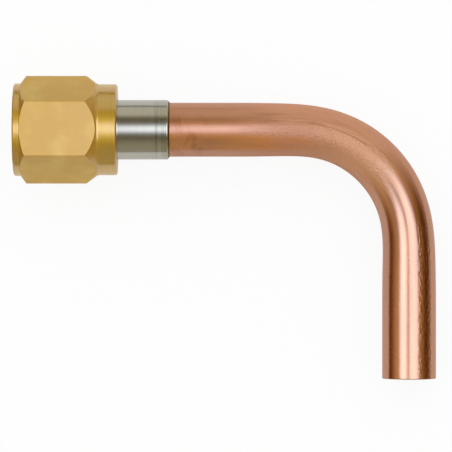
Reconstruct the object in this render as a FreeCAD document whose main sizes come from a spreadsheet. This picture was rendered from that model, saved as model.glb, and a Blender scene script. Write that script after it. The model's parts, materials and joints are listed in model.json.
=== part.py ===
import FreeCAD, Part
import math
import os

import Sketcher

# Half-inch refrigeration elbow: a copper tube bent through a right angle, brazed into a turned steel
# nipple that carries a captive brass union nut.
#
# The fitting's own frame: X runs along the nut's axis from the nut's front face towards the bend, the
# free leg of the tube points to -Y, and Z is square to the plane of the bend. Every piece is drawn in
# that frame, and the same resting place is then given to each one: the fitting lies on one flat of the
# nut and on its leg.

SIZES = {
    # Tube
    "tube_diameter": 12.7,
    "tube_wall": 1.0,
    "face_to_leg": 93.2,
    "axis_to_tube_end": 58.6,
    "bend_radius": 26.0,
    "bend_flattening": 0.64,
    "flattening_run": 8.0,
    "tube_end_break": 0.3,
    # Braze metal between tube and socket
    "braze_gap": 0.08,
    "braze_fillet": 0.35,
    # Nipple
    "socket_wall": 0.57,
    "socket_depth": 9.0,
    "stem_showing": 12.0,
    "stem_edge_break": 0.4,
    "head_step": 1.55,
    "head_length": 5.0,
    "head_edge_break": 0.3,
    "seat_rim": 0.65,
    "seat_angle": 45.0,
    # Sealing cone, pressed from copper sheet
    "cone_sheet": 0.8,
    "cone_clearance": 0.05,
    "cone_recess": 0.05,
    # Inside of the nut: these steps bring the thread to 19.05 mm, three quarters of an inch
    "stem_clearance": 0.1,
    "shoulder_gap": 0.3,
    "nut_rear_wall": 5.5,
    "head_clearance": 0.2,
    "thread_depth": 0.775,
    "relief_clearance": 0.175,
    "relief_width": 5.6,
    "mouth_lead": 0.275,
    # Outside of the nut, made from hexagon bar: 22 mm across its flats
    "nut_length": 24.5,
    "thread_to_flat": 1.475,
    "nut_corner_radius": 0.2,
    "front_collar_step": 0.1,
    "front_collar_length": 2.0,
    "front_cone_angle": 54.0,
    "rear_collar_step": 0.3,
    "rear_collar_length": 4.55,
    "rear_cone_angle": 36.0,
    "nut_edge_break": 0.3,
}

BEND_ANGLE = 90.0
BEND_SPANS = 4
FLATS = 6

# How far a cut reaches past the metal that it takes off
OVERCUT = 2.0

doc = FreeCAD.newDocument("ElbowFitting")
sheet = doc.addObject("Spreadsheet::Sheet", "Sizes")
for row, (alias, value) in enumerate(SIZES.items(), start=1):
    sheet.set(f"A{row}", alias)
    sheet.set(f"B{row}", str(value))
    sheet.setAlias(f"B{row}", alias)
doc.recompute()

# Radii, from the tube outwards
TUBE_RADIUS = "(Sizes.tube_diameter / 2)"
BORE_RADIUS = f"({TUBE_RADIUS} - Sizes.tube_wall)"
SOCKET_RADIUS = f"({TUBE_RADIUS} + Sizes.braze_gap)"
STEM_RADIUS = f"({SOCKET_RADIUS} + Sizes.socket_wall)"
HEAD_RADIUS = f"({STEM_RADIUS} + Sizes.head_step)"
SEAT_RADIUS = f"({HEAD_RADIUS} - Sizes.seat_rim)"
REAR_BORE_RADIUS = f"({STEM_RADIUS} + Sizes.stem_clearance)"
MINOR_RADIUS = f"({HEAD_RADIUS} + Sizes.head_clearance)"
MAJOR_RADIUS = f"({MINOR_RADIUS} + Sizes.thread_depth)"
RELIEF_RADIUS = f"({MAJOR_RADIUS} + Sizes.relief_clearance)"
MOUTH_RADIUS = f"({MAJOR_RADIUS} + Sizes.mouth_lead)"
FLAT_RADIUS = f"({MAJOR_RADIUS} + Sizes.thread_to_flat)"
CORNER_RADIUS = f"({FLAT_RADIUS} / cos(180 / {FLATS}))"
FRONT_RADIUS = f"({FLAT_RADIUS} - Sizes.front_collar_step)"
REAR_RADIUS = f"({FLAT_RADIUS} - Sizes.rear_collar_step)"

# Places along the nut's axis, from the nut's front face
REAR_COLLAR_AT = "(Sizes.nut_length - Sizes.rear_collar_length)"
REAR_BREAK_AT = "(Sizes.nut_length - Sizes.nut_edge_break)"
SHOULDER_AT = "(Sizes.nut_length - Sizes.nut_rear_wall)"
RELIEF_AT = f"({SHOULDER_AT} - Sizes.relief_width)"
HEAD_BACK_AT = f"({SHOULDER_AT} - Sizes.shoulder_gap)"
HEAD_FRONT_AT = f"({HEAD_BACK_AT} - Sizes.head_length)"
STEM_END_AT = "(Sizes.nut_length + Sizes.stem_showing)"
TUBE_START_AT = f"({STEM_END_AT} - Sizes.socket_depth)"
BEND_START_AT = "(Sizes.face_to_leg - Sizes.bend_radius)"


def number(expression):
    """Value of an expression in the sheet's sizes."""
    return float(sheet.evalExpression(expression))


def origin_plane(body, role):
    """One of the body's own origin planes."""
    return next(feature for feature in body.Origin.OriginFeatures if feature.Role == role)


def add_outline(body, name, role, corners):
    """A closed sketch of straight lines whose corners are held by two expressions each."""
    sketch = body.newObject("Sketcher::SketchObject", name)
    sketch.AttachmentSupport = [(origin_plane(body, role), "")]
    sketch.MapMode = "FlatFace"
    points = [FreeCAD.Vector(number(across), number(up), 0) for across, up in corners]
    for start, end in zip(points, points[1:] + points[:1]):
        sketch.addGeometry(Part.LineSegment(start, end), False)
    for line, (across, up) in enumerate(corners):
        before = (line - 1) % len(corners)
        sketch.addConstraint(Sketcher.Constraint("Coincident", before, 2, line, 1))
        for kind, expression in (("DistanceX", across), ("DistanceY", up)):
            held = Sketcher.Constraint(kind, -1, 1, line, 1, number(expression))
            sketch.setExpression(f"Constraints[{sketch.addConstraint(held)}]", expression)
    doc.recompute()
    return sketch


def turn(body, name, kind, corners):
    """A Revolution or Groove of a half section, turned once about the nut's axis."""
    before = body.Shape.Volume if body.Tip else 0.0
    section = add_outline(body, name + "Section", "XZ_Plane", corners)
    feature = body.newObject("PartDesign::" + kind, name)
    feature.Profile = section
    feature.ReferenceAxis = (section, ["H_Axis"])
    feature.Angle = 360.0
    doc.recompute()
    if (body.Shape.Volume < before) != (kind == "Groove"):
        raise RuntimeError(f"{name} changed the volume the wrong way")
    return feature


def make_union_nut():
    """Hexagon bar, turned down to a collar and a cone at each end, then bored from the front."""
    body = doc.addObject("PartDesign::Body", "UnionNut")
    half_side = f"({CORNER_RADIUS} / 2)"
    hexagon = [
        (CORNER_RADIUS, "0"),
        (half_side, FLAT_RADIUS),
        (f"-{half_side}", FLAT_RADIUS),
        (f"-{CORNER_RADIUS}", "0"),
        (f"-{half_side}", f"-{FLAT_RADIUS}"),
        (half_side, f"-{FLAT_RADIUS}"),
    ]
    bar = body.newObject("PartDesign::Pad", "HexagonBar")
    bar.Profile = add_outline(body, "HexagonSketch", "YZ_Plane", hexagon)
    bar.setExpression("Length", "Sizes.nut_length")
    doc.recompute()

    long_edges = [
        f"Edge{place}"
        for place, edge in enumerate(bar.Shape.Edges, start=1)
        if abs(edge.tangentAt(edge.FirstParameter).x) > 0.99
    ]
    if len(long_edges) != FLATS:
        raise RuntimeError("the bar should have one long edge for each flat")
    corners = body.newObject("PartDesign::Fillet", "BarCorners")
    corners.Base = (bar, long_edges)
    corners.setExpression("Radius", "Sizes.nut_corner_radius")
    doc.recompute()

    outside = f"({CORNER_RADIUS} + {OVERCUT})"
    front_cone_end = (
        f"(Sizes.front_collar_length + ({outside} - {FRONT_RADIUS}) / tan(Sizes.front_cone_angle))"
    )
    turn(body, "FrontTurned", "Groove", [
        (f"-{OVERCUT}", f"({FRONT_RADIUS} - Sizes.nut_edge_break - {OVERCUT})"),
        ("Sizes.nut_edge_break", FRONT_RADIUS),
        ("Sizes.front_collar_length", FRONT_RADIUS),
        (front_cone_end, outside),
        (f"-{OVERCUT}", outside),
    ])
    rear_cone_start = f"({REAR_COLLAR_AT} - ({outside} - {REAR_RADIUS}) / tan(Sizes.rear_cone_angle))"
    turn(body, "RearTurned", "Groove", [
        (rear_cone_start, outside),
        (REAR_COLLAR_AT, REAR_RADIUS),
        (REAR_BREAK_AT, REAR_RADIUS),
        (f"(Sizes.nut_length + {OVERCUT})", f"({REAR_RADIUS} - Sizes.nut_edge_break - {OVERCUT})"),
        (f"(Sizes.nut_length + {OVERCUT})", outside),
    ])
    turn(body, "Bored", "Groove", [
        (f"-{OVERCUT}", "0"),
        (f"-{OVERCUT}", f"({MOUTH_RADIUS} + {OVERCUT})"),
        (f"({MOUTH_RADIUS} - {MINOR_RADIUS})", MINOR_RADIUS),
        (RELIEF_AT, MINOR_RADIUS),
        (RELIEF_AT, RELIEF_RADIUS),
        (SHOULDER_AT, RELIEF_RADIUS),
        (SHOULDER_AT, REAR_BORE_RADIUS),
        (REAR_BREAK_AT, REAR_BORE_RADIUS),
        (f"(Sizes.nut_length + {OVERCUT})", f"({REAR_BORE_RADIUS} + Sizes.nut_edge_break + {OVERCUT})"),
        (f"(Sizes.nut_length + {OVERCUT})", "0"),
    ])
    return body


def make_flare_nipple():
    """Turned nipple: head with the flare seat, stem through the nut, socket for the tube behind."""
    body = doc.addObject("PartDesign::Body", "FlareNipple")
    seat_depth = f"(({SEAT_RADIUS} - {BORE_RADIUS}) / tan(Sizes.seat_angle))"
    turn(body, "NippleTurned", "Revolution", [
        (f"({HEAD_FRONT_AT} + {seat_depth})", BORE_RADIUS),
        (HEAD_FRONT_AT, SEAT_RADIUS),
        (HEAD_FRONT_AT, f"({HEAD_RADIUS} - Sizes.head_edge_break)"),
        (f"({HEAD_FRONT_AT} + Sizes.head_edge_break)", HEAD_RADIUS),
        (HEAD_BACK_AT, HEAD_RADIUS),
        (HEAD_BACK_AT, STEM_RADIUS),
        (f"({STEM_END_AT} - Sizes.stem_edge_break)", STEM_RADIUS),
        (STEM_END_AT, f"({STEM_RADIUS} - Sizes.stem_edge_break)"),
        (STEM_END_AT, SOCKET_RADIUS),
        (TUBE_START_AT, SOCKET_RADIUS),
        (TUBE_START_AT, BORE_RADIUS),
    ])
    return body


def make_sealing_cone():
    """Ring of copper sheet lying in the nipple's seat, just inside the face of the head."""
    body = doc.addObject("PartDesign::Body", "SealingCone")
    slope = "tan(Sizes.seat_angle)"
    under = "(Sizes.cone_clearance / cos(Sizes.seat_angle))"
    sheet_across = "(Sizes.cone_sheet / cos(Sizes.seat_angle))"
    front_at = f"({HEAD_FRONT_AT} + Sizes.cone_recess)"
    front_radius = f"({SEAT_RADIUS} - {under} - Sizes.cone_recess * {slope})"
    hole_at = f"({front_at} + ({front_radius} - {BORE_RADIUS}) / {slope})"
    turn(body, "ConePressed", "Revolution", [
        (front_at, front_radius),
        (hole_at, BORE_RADIUS),
        (f"({hole_at} - {sheet_across} / {slope})", BORE_RADIUS),
        (front_at, f"({front_radius} - {sheet_across})"),
    ])
    return body


def make_braze_ring():
    """Film of braze metal round the tube in its socket, with the small fillet at the socket's mouth."""
    body = doc.addObject("PartDesign::Body", "BrazeRing")
    turn(body, "BrazeFlowed", "Revolution", [
        (TUBE_START_AT, TUBE_RADIUS),
        (f"({STEM_END_AT} + Sizes.braze_fillet)", TUBE_RADIUS),
        (STEM_END_AT, f"({TUBE_RADIUS} + Sizes.braze_fillet)"),
        (STEM_END_AT, SOCKET_RADIUS),
        (TUBE_START_AT, SOCKET_RADIUS),
    ])
    return body


def bend_centre():
    """Point that the bend is turned about."""
    return FreeCAD.Vector(number(BEND_START_AT), -number("Sizes.bend_radius"), 0)


def across_tube(angle, beyond=0.0):
    """Place square to the tube's line, at an angle of the bend and a length straight on from there."""
    turned = FreeCAD.Rotation(FreeCAD.Vector(0, 0, 1), -angle)
    out = turned.multVec(FreeCAD.Vector(beyond, number("Sizes.bend_radius"), 0))
    return FreeCAD.Placement(bend_centre() + out, turned * FreeCAD.Rotation(FreeCAD.Vector(0, 1, 0), 90))


def add_section(name, kind, place, sizes):
    """A closed curve across the tube, or a cylinder along it, with its sizes bound to the sheet."""
    section = doc.addObject(kind, name)
    for size, expression in sizes.items():
        section.setExpression(size, expression)
    section.Placement = place
    return section


def add_run(name, sections):
    """The solid between a round section and an oval one."""
    run = doc.addObject("Part::Loft", name)
    run.Sections = sections
    run.Solid = True
    run.Ruled = True
    return run


def make_skin(name, radius):
    """One skin of the tube as a solid bar: round straights, a flattened bend, and a run between each two."""
    run = number("Sizes.flattening_run")
    to_start = number(BEND_START_AT) - number(TUBE_START_AT)
    straight = add_section(f"{name}Straight", "Part::Cylinder", across_tube(0.0, -to_start), {
        "Radius": radius,
        "Height": f"{BEND_START_AT} - Sizes.flattening_run - {TUBE_START_AT}",
    })
    leg = add_section(f"{name}Leg", "Part::Cylinder", across_tube(BEND_ANGLE, run), {
        "Radius": radius,
        "Height": "Sizes.axis_to_tube_end - Sizes.bend_radius - Sizes.flattening_run",
    })
    round_size = {"Radius": radius}
    first_round = add_section(f"{name}Round1", "Part::Circle", across_tube(0.0, -run), round_size)
    last_round = add_section(f"{name}Round2", "Part::Circle", across_tube(BEND_ANGLE, run), round_size)

    oval_sizes = {"MajorRadius": radius, "MinorRadius": f"{radius} - Sizes.bend_flattening / 2"}
    span_angle = BEND_ANGLE / BEND_SPANS
    ovals = [
        add_section(f"{name}Oval{place}", "Part::Ellipse", across_tube(place * span_angle), oval_sizes)
        for place in range(BEND_SPANS + 1)
    ]
    runs = [
        add_run(f"{name}RunIn", [first_round, ovals[0]]),
        add_run(f"{name}RunOut", [ovals[-1], last_round]),
    ]
    spans = []
    for oval in ovals[:-1]:
        span = doc.addObject("Part::Revolution", f"{name}Span{len(spans) + 1}")
        span.Source = oval
        span.Base = bend_centre()
        span.Axis = FreeCAD.Vector(0, 0, -1)
        span.Angle = span_angle
        span.Solid = True
        spans.append(span)

    skin = doc.addObject("Part::MultiFuse", name)
    skin.Shapes = [straight, leg] + runs + spans
    doc.recompute()
    return skin


def make_copper_tube():
    """The bent tube: outer skin less inner skin, with the sharp outer edge of its cut end taken off."""
    cut = doc.addObject("Part::Cut", "TubeCut")
    cut.Base = make_skin("Outside", TUBE_RADIUS)
    cut.Tool = make_skin("Inside", BORE_RADIUS)
    doc.recompute()

    end = -number("Sizes.axis_to_tube_end")
    radius = number(TUBE_RADIUS)
    rim = [
        place
        for place, edge in enumerate(cut.Shape.Edges, start=1)
        if isinstance(edge.Curve, Part.Circle)
        and math.isclose(edge.Curve.Center.y, end, abs_tol=0.01)
        and math.isclose(edge.Curve.Radius, radius, abs_tol=0.01)
    ]
    if len(rim) != 1:
        raise RuntimeError("the tube's end should have one outer rim")
    edge_break = number("Sizes.tube_end_break")
    tube = doc.addObject("Part::Chamfer", "CopperTube")
    tube.Base = cut
    tube.Edges = [(rim[0], edge_break, edge_break)]
    doc.recompute()
    return tube


def lean_on(contact_at, contact_radius):
    """Slope of the nut's axis when a low point of the nut and the leg both touch the ground."""
    run = number("Sizes.face_to_leg") - number(contact_at)
    depth = number(contact_radius)
    reach = math.hypot(run, depth)
    return math.acos(number(TUBE_RADIUS) / reach) - math.atan2(run, depth)


def resting_place():
    """Placement that lays the fitting down, its box centred over the origin and its lowest point at zero."""
    flat_end_at = f"({REAR_COLLAR_AT} - ({FLAT_RADIUS} - {REAR_RADIUS}) / tan(Sizes.rear_cone_angle))"
    lean = max(lean_on(flat_end_at, FLAT_RADIUS), lean_on(REAR_BREAK_AT, REAR_RADIUS))

    front_rim = number(FRONT_RADIUS) - number("Sizes.nut_edge_break")
    corner_loss = number("Sizes.nut_corner_radius") * (1 / math.cos(math.pi / FLATS) - 1)
    low_x = -front_rim * math.sin(lean)
    high_x = number("Sizes.face_to_leg") * math.cos(lean) + number(TUBE_RADIUS)
    low_y = -number("Sizes.axis_to_tube_end")
    high_y = number(CORNER_RADIUS) - corner_loss
    rise = number(TUBE_RADIUS) + number("Sizes.face_to_leg") * math.sin(lean)
    place = FreeCAD.Vector(-(low_x + high_x) / 2, -(low_y + high_y) / 2, rise)
    return FreeCAD.Placement(place, FreeCAD.Rotation(FreeCAD.Vector(0, 1, 0), math.degrees(lean)))


pieces = {
    "union_nut": make_union_nut(),
    "flare_nipple": make_flare_nipple(),
    "sealing_cone": make_sealing_cone(),
    "braze_ring": make_braze_ring(),
    "copper_tube": make_copper_tube(),
}
rest = resting_place()
for label, piece in pieces.items():
    piece.Label = label
    piece.Placement = rest
doc.recompute()

for item in doc.Objects:
    if "Invalid" in item.State or "Error" in item.State:
        raise RuntimeError(f"{item.Name} failed: {item.State}")
for label, piece in pieces.items():
    if piece.Shape.isNull() or not piece.Shape.isValid() or len(piece.Shape.Solids) != 1:
        raise RuntimeError(f"{label} is not one valid solid")

os.makedirs("parts", exist_ok=True)
for label, piece in pieces.items():
    piece.Shape.exportStep(f"parts/{label}.step")
    print(f"{label}: {piece.Shape.Volume:.1f} mm3, box {piece.Shape.BoundBox}")

lean_degrees = math.degrees(rest.Rotation.Angle)
print(f"axis slopes {lean_degrees:.3f} degrees, origin of the fitting at {rest.Base}")
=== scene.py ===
"""Looks of a half-inch refrigeration elbow: bent copper tube, turned nipple and captive union nut."""

import json
import logging
import math
from dataclasses import dataclass
from enum import Enum

import bmesh
import bpy
import numpy as np
from bpy.types import Material, Mesh, Node, NodeSocket, NodeTree, Object, World
from mathutils import Matrix, Vector


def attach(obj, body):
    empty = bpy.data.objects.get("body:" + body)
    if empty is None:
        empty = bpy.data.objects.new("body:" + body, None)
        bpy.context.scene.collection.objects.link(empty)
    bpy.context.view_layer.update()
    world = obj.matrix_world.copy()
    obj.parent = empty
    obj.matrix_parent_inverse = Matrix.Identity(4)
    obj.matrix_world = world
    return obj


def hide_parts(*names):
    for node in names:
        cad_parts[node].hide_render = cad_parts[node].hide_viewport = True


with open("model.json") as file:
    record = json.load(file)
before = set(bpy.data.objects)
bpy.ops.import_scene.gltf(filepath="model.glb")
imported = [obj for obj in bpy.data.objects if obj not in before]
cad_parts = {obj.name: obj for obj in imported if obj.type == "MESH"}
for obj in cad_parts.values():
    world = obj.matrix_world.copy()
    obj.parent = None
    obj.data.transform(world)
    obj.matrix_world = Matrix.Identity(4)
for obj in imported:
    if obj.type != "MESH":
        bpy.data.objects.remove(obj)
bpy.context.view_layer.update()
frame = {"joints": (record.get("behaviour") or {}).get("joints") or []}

LOG = logging.getLogger("elbow")

MM = 0.001
FULL_TURN = 360.0
FLATS = 6
CIRCLE_PIECES = 128

# Lengths in millimetres. Points of a finished piece within the first are one point, an edge shorter than the
# second goes, parts that meet within the third are joined, and a difference below the fourth is none.
WELD = 0.0005
SLIVER = 0.0002
SEAM = 0.001
HAIR = 1e-6

# A rounding takes at most this share of a straight side. Just beyond it, by this share of its reach or by
# this length, another point keeps the rest of the side flat in the light.
MOST_OF_SIDE = 0.42
BEYOND_SHARE = 1.15
BEYOND_LENGTH = 0.04

# Lines of the mesh for each turn of the thread, and how far each one lies from the edge that it follows.
THREAD_LINES = 8
THREAD_EDGE = 0.02

# Oxide films on copper and brass bend light more than lacquer does, so they whiten a lamp's reflection.
FILM_INDEX = 2.45
FILM_ROUGHNESS = 0.18

OWN_PLACE = "own_mm"
BAR_FACE = "bar_face"
CONE_FACE = "cone_face"
BLACK = (0.0, 0.0, 0.0, 1.0)
WHITE = (1.0, 1.0, 1.0, 1.0)
MAP_RANGE = "ShaderNodeMapRange"
SMOOTH = {"interpolation_type": "SMOOTHSTEP"}

# The swivel joint sits half way along the nut, so it gives the place of the fitting's own frame.
SWIVEL_AT = 12.25


class Body(Enum):
    """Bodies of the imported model."""

    ELBOW = "elbow"
    NUT = "nut"


class Maths(Enum):
    """Operations of the math node, under their own names."""

    ADD, SUBTRACT, MULTIPLY, MULTIPLY_ADD, DIVIDE, MAXIMUM, POWER, SQRT, ABSOLUTE = range(9)
    ROUND, FLOOR, FLOORED_MODULO, WRAP, COMPARE, SINE, COSINE, ARCTAN2, DEGREES = range(9, 18)


class Vectors(Enum):
    """Operations of the vector math node, under their own names."""

    ADD, SUBTRACT, DIVIDE, MAXIMUM, SCALE, LENGTH, DOT_PRODUCT, CROSS_PRODUCT = range(8)


class Slot(Enum):
    """Material slots of the record."""

    NUT_BRASS = "nut_brass"
    NIPPLE_STEEL = "nipple_steel"
    CONE_COPPER = "cone_copper"
    TUBE_COPPER = "tube_copper"
    BRAZE_METAL = "braze_metal"


def own_frame() -> Matrix:
    """Finds the fitting's own frame, which leans with the fitting as it lies on the ground.

    X runs along the nut's axis from its front face, Y away from the free leg, Z square to the bend.

    Returns:
        The matrix that takes a point in millimetres of that frame to metres of the row's frame.
    """
    joint = frame["joints"][0]
    along = -Vector(joint["axis"]).normalized()
    up_leg = Vector((0.0, 1.0, 0.0))
    square = along.cross(up_leg)
    start = Vector(joint["pos_m"]) - along * SWIVEL_AT * MM
    turned = Matrix((along, up_leg, square)).transposed().to_4x4()
    return Matrix.Translation(start) @ turned @ Matrix.Scale(MM, 4)


OWN_TO_ROW = own_frame()
OWN_AXES = tuple(OWN_TO_ROW.col[axis].to_3d().normalized() for axis in range(3))

# Which socket of a geometry tree takes which kind of value.
SOCKETS = {
    float: "NodeSocketFloat",
    int: "NodeSocketInt",
    Object: "NodeSocketObject",
    Material: "NodeSocketMaterial",
}


def linear(hex_colour: str) -> tuple[float, float, float, float]:
    """Turns an sRGB hex colour into a linear one.

    Args:
        hex_colour: The colour as "#RRGGBB".

    Returns:
        Red, green, blue and an alpha of one.
    """
    parts = [int(hex_colour[start:start + 2], 16) / 255 for start in (1, 3, 5)]
    levels = [part / 12.92 if part <= 0.04045 else ((part + 0.055) / 1.055) ** 2.4 for part in parts]
    return (levels[0], levels[1], levels[2], 1.0)


def add(
    tree: NodeTree,
    kind: str | Maths | Vectors,
    inputs: list | dict | None = None,
    stops: list[tuple[float, tuple[float, float, float, float]]] | None = None,
    **settings: object,
) -> Node:
    """Adds a node with its settings, values and links.

    Args:
        tree: The tree that gets the node.
        kind: The node's type, or an operation, for a math node.
        inputs: What goes into the node: a value, an output, or a node for its first output. A list fills
            the inputs that are in use in their order, and a dict names them.
        stops: Places and colours, for a node with a colour ramp.
        **settings: The node's own properties.

    Returns:
        The new node.
    """
    if isinstance(kind, Enum):
        settings["operation"] = kind.name
        kind = "ShaderNodeMath" if isinstance(kind, Maths) else "ShaderNodeVectorMath"
    node = tree.nodes.new(kind)
    for name, value in settings.items():
        setattr(node, name, value)
    if isinstance(inputs, dict):
        pairs = [(node.inputs[name], value) for name, value in inputs.items()]
    else:
        in_use = [socket for socket in node.inputs if socket.enabled]
        pairs = list(zip(in_use, inputs or []))
    for socket, value in pairs:
        if isinstance(value, Node):
            value = next(output for output in value.outputs if output.enabled)
        if isinstance(value, NodeSocket):
            tree.links.new(value, socket)
        else:
            socket.default_value = value
    for place, (position, colour) in enumerate(stops or []):
        elements = node.color_ramp.elements
        element = elements[place] if place < len(elements) else elements.new(position)
        element.position = position
        element.color = colour
    return node


@dataclass(frozen=True)
class Zone:
    """A stretch of a piece, by the places at which it fades in and out, in millimetres of its own frame."""

    fade_in: tuple[float, float]
    fade_out: tuple[float, float]
    least: float = 0.0

    def share(self, tree: NodeTree, place: object) -> Node:
        """Adds how far a place is inside the stretch.

        Args:
            tree: The material's tree.
            place: The socket with the place along the stretch.

        Returns:
            The node whose output is nought outside, or the least share before it, and one inside.
        """
        rise = add(tree, MAP_RANGE, [place, *self.fade_in, self.least, 1.0], **SMOOTH)
        fall = add(tree, MAP_RANGE, [place, *self.fade_out, 1.0, 0.0], **SMOOTH)
        return add(tree, Maths.MULTIPLY, [rise, fall])


@dataclass(frozen=True)
class Dulling:
    """A skin that has lost its shine along a stretch: rougher, paler and grained like orange peel."""

    along: Zone
    colour: str
    rougher: float
    scatter: float
    film_lost: float
    peel_scale: float
    peel_depth: float
    peel_from: float = 0.5


@dataclass(frozen=True)
class Marks:
    """Small dents and stains in one patch of a piece, some of them painted light and shade. Scales are in
    waves for each millimetre.
    """

    along: Zone
    across: Zone
    scale: tuple[float, float, float]
    cut: tuple[float, float] = (0.5, 0.7)
    depth: float = 0.0
    colour: str | None = None
    cover: float = 0.5

    def strength(self, tree: NodeTree, place: object) -> Node:
        """Adds how strong a mark is at each place.

        Args:
            tree: The material's tree.
            place: The socket with the piece's own place in millimetres.

        Returns:
            The node whose output is nought off the marks and one in their middle.
        """
        parts = add(tree, "ShaderNodeSeparateXYZ", [place]).outputs
        along = self.along.share(tree, parts["X"])
        across = self.across.share(tree, parts["Y"])
        stretched = add(tree, "ShaderNodeMapping", {"Vector": place, "Scale": self.scale})
        noise = add(tree, "ShaderNodeTexNoise", {"Vector": stretched, "Scale": 1.0, "Detail": 2.0})
        spots = add(tree, MAP_RANGE, [noise, *self.cut, 0.0, 1.0], **SMOOTH)
        return add(tree, Maths.MULTIPLY, [add(tree, Maths.MULTIPLY, [along, across]), spots])


@dataclass(frozen=True)
class Finish:
    """A bare metal surface: its colour, its gloss, the marks that its making left, and on some patches
    painted light and shade.

    The scales are in waves for each millimetre, along the axis and across it, and the depths in millimetres.
    """

    name: str
    colour: str
    roughness: float
    stretch: float = 0.0
    film: float = 0.0
    edge: str = "#FFFFFF"
    mark_scale: tuple[float, float, float] = (1.0, 1.0, 1.0)
    mark_depth: float = 0.0
    mark_shade: float = 0.0
    ripple_scale: float = 0.3
    ripple_depth: float = 0.0
    cloud_scale: float = 0.1
    cloud_shade: float = 0.0
    cloud_gloss: float = 0.0
    cloud_cut: tuple[float, float] = (0.4, 0.8)
    cloud_colour: str | None = None
    dulling: Dulling | None = None
    marks: tuple[Marks, ...] = ()

    def build(self) -> Material:
        """Makes the material.

        Returns:
            The material, with its patterns on each piece's own place in millimetres.
        """
        material = bpy.data.materials.new(self.name)
        material.use_nodes = True
        tree = material.node_tree
        tree.nodes.clear()
        place = add(tree, "ShaderNodeAttribute", attribute_name=OWN_PLACE).outputs["Vector"]
        stretched = add(tree, "ShaderNodeMapping", {"Vector": place, "Scale": self.mark_scale})
        lines = add(tree, "ShaderNodeTexNoise", {"Vector": stretched, "Scale": 1.0, "Detail": 4.0})
        cloud = add(tree, "ShaderNodeTexNoise", {"Vector": place, "Scale": self.cloud_scale, "Detail": 3.0})
        waves = {"Vector": place, "Scale": self.ripple_scale, "Detail": 1.0}
        ripple = add(tree, "ShaderNodeTexNoise", waves)

        lined = add(tree, Maths.MULTIPLY_ADD, [lines, self.mark_shade, 1.0 - self.mark_shade / 2])
        clouded = add(tree, Maths.MULTIPLY_ADD, [cloud, self.cloud_shade, 1.0 - self.cloud_shade / 2])
        shade = add(tree, Maths.MULTIPLY, [lined, clouded])
        ripples = add(tree, Maths.MULTIPLY, [ripple, self.ripple_depth])
        height = add(tree, Maths.MULTIPLY_ADD, [lines, self.mark_depth, ripples])

        tone: object = linear(self.colour)
        gloss: object = self.roughness
        metallic: object = 1.0
        film: object = self.film
        if self.cloud_colour:
            stained = add(tree, MAP_RANGE, [cloud, *self.cloud_cut, 0.0, 1.0], **SMOOTH)
            tone = add(tree, "ShaderNodeMix", [stained, tone, linear(self.cloud_colour)], data_type="RGBA")
        if self.cloud_gloss:
            evened = self.roughness - self.cloud_gloss / 2
            gloss = add(tree, Maths.MULTIPLY_ADD, [cloud, self.cloud_gloss, evened])
        if self.dulling:
            dull = self.dulling.along.share(tree, add(tree, "ShaderNodeSeparateXYZ", [place]))
            tone = add(tree, "ShaderNodeMix", [dull, tone, linear(self.dulling.colour)], data_type="RGBA")
            gloss = add(tree, Maths.MULTIPLY_ADD, [dull, self.dulling.rougher, gloss])
            metallic = add(tree, Maths.MULTIPLY_ADD, [dull, -self.dulling.scatter, 1.0])
            film = add(tree, Maths.MULTIPLY_ADD, [dull, -self.dulling.film_lost, self.film])
            grain = {"Vector": place, "Scale": self.dulling.peel_scale, "Detail": 2.0}
            peel = add(tree, "ShaderNodeTexNoise", grain)
            stretched_skin = add(tree, MAP_RANGE, [dull, self.dulling.peel_from, 1.0, 0.0, 1.0])
            peel_here = add(tree, Maths.MULTIPLY, [peel, stretched_skin])
            height = add(tree, Maths.MULTIPLY_ADD, [peel_here, self.dulling.peel_depth, height])
        for mark in self.marks:
            strength = mark.strength(tree, place)
            if mark.depth:
                height = add(tree, Maths.MULTIPLY_ADD, [strength, mark.depth, height])
            # Each mark's colour is mixed into the tone; on some copper patches this colour is painted light
            # and shade.
            if mark.colour:
                covered = add(tree, Maths.MULTIPLY, [strength, mark.cover])
                tone = add(tree, "ShaderNodeMix", [covered, tone, linear(mark.colour)], data_type="RGBA")

        bumped = add(tree, "ShaderNodeBump", {"Height": height, "Strength": 1.0, "Distance": MM})
        metal = add(tree, "ShaderNodeBsdfPrincipled", {
            "Base Color": add(tree, "ShaderNodeMix", [shade, BLACK, tone], data_type="RGBA"),
            "Metallic": metallic,
            "Roughness": gloss,
            "Normal": bumped,
            "Specular Tint": linear(self.edge),
            "Anisotropic": self.stretch,
            "Coat Weight": film,
            "Coat Roughness": FILM_ROUGHNESS,
            "Coat IOR": FILM_INDEX,
            "Coat Normal": bumped,
        })
        if self.stretch:
            facing = add(tree, "ShaderNodeNewGeometry").outputs["Normal"]
            around = add(tree, Vectors.CROSS_PRODUCT, [facing, OWN_AXES[0]])
            tree.links.new(around.outputs[0], metal.inputs["Tangent"])
        add(tree, "ShaderNodeOutputMaterial", [metal])
        return material


# Free-cutting brass turned in a lathe: a satin gold whose light is drawn out along the piece. The tool's
# lines are finer than can be shown, so they are drawn three times as coarse.
TURNED_BRASS = Finish(
    name="brass_turned", colour="#CEA224", roughness=0.42, stretch=0.4, film=0.72,
    mark_scale=(2.2, 0.03, 0.03), mark_depth=0.012, mark_shade=0.5,
    cloud_scale=0.25, cloud_shade=0.05,
)

# The cones, cut with a broad form tool: the same brass, but dull, because such a cut tears it a little.
FORMED_BRASS = Finish(
    name="brass_form_cut", colour="#DAB03C", roughness=0.7, film=0.6,
    mark_scale=(0.8, 0.05, 0.05), mark_depth=0.004, mark_shade=0.15,
)

# Drawn hexagon bar, left as it came from the die: flatter, with softly stained patches.
DRAWN_BRASS_BAR = Finish(
    name="brass_bar_drawn", colour="#DFB93E", roughness=0.77, film=0.4,
    mark_scale=(0.15, 2.0, 2.0), mark_depth=0.002, mark_shade=0.08,
    ripple_scale=0.25, ripple_depth=0.02,
    cloud_scale=0.16, cloud_shade=0.04, cloud_colour="#E8CA5C",
)

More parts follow.
